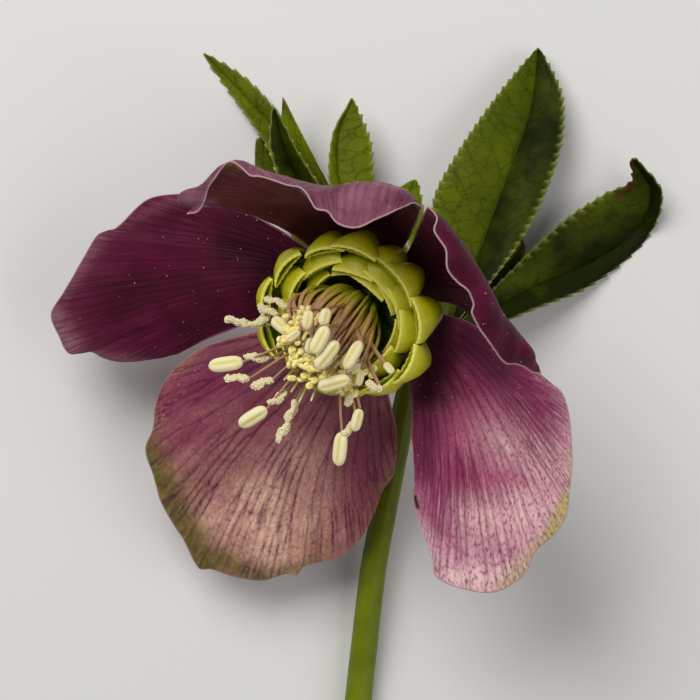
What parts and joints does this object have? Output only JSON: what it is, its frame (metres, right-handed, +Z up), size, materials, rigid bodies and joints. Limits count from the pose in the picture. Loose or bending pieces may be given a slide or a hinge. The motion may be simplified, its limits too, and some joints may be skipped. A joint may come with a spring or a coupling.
{
  "type": "cut hellebore flower",
  "caption": "Cut hellebore bloom lying on its back: cupped plum and rose sepals round a ring of green nectaries and cream stamens, with toothed green bracts and a smooth curved stem.",
  "frame": {"origin": "on the surface it lies on, under the middle of the whole flower, stem and bracts", "axes": "+X to the bloom's right and +Y away from the cut stem, as seen from above; +Z up, the way the bloom faces"},
  "size_m": [0.0904, 0.1148, 0.0603],
  "materials": {
    "sepal_plum": "satin",
    "sepal_rose": "satin",
    "bract_green": "satin",
    "stem_green": "satin",
    "nectary_green": "waxy satin",
    "anther_cream": "matt, powdery"
  },
  "bodies": {
    "root": {"stem": "stem_green", "bract_left": "bract_green", "bract_upper": "bract_green", "bract_right": "bract_green", "sepal_left": "sepal_plum", "sepal_lower_left": "sepal_rose", "sepal_lower_right": "sepal_rose", "sepal_right": "sepal_plum", "sepal_top": "sepal_plum", "nectaries": "nectary_green", "stamens": "anther_cream"}
  },
  "joints": []
}
